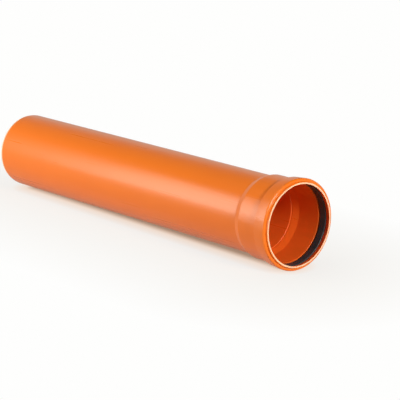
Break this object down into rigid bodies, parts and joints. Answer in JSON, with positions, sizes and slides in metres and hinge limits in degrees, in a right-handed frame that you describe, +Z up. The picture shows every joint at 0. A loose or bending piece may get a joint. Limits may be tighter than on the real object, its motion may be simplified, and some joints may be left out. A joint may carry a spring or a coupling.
{
  "type": "sewer pipe",
  "caption": "Orange PVC-U gravity sewer pipe with a bevelled plain end and a belled push-fit socket that holds a rubber lip seal in its groove.",
  "frame": {"origin": "middle of the pipe's footprint, on the floor it lies on", "axes": "+X along the pipe from the plain end to the socket's mouth, +Z up; the pipe lies on its bead and its plain end, so its own axis climbs 0.79 degrees towards the mouth"},
  "size_m": [1.1106, 0.23, 0.23],
  "materials": {
    "orange_pvc": "extruded, soft sheen",
    "seal_rubber": "moulded, matt"
  },
  "bodies": {
    "root": {"pipe": "orange_pvc", "seal_ring": "seal_rubber"}
  },
  "joints": []
}
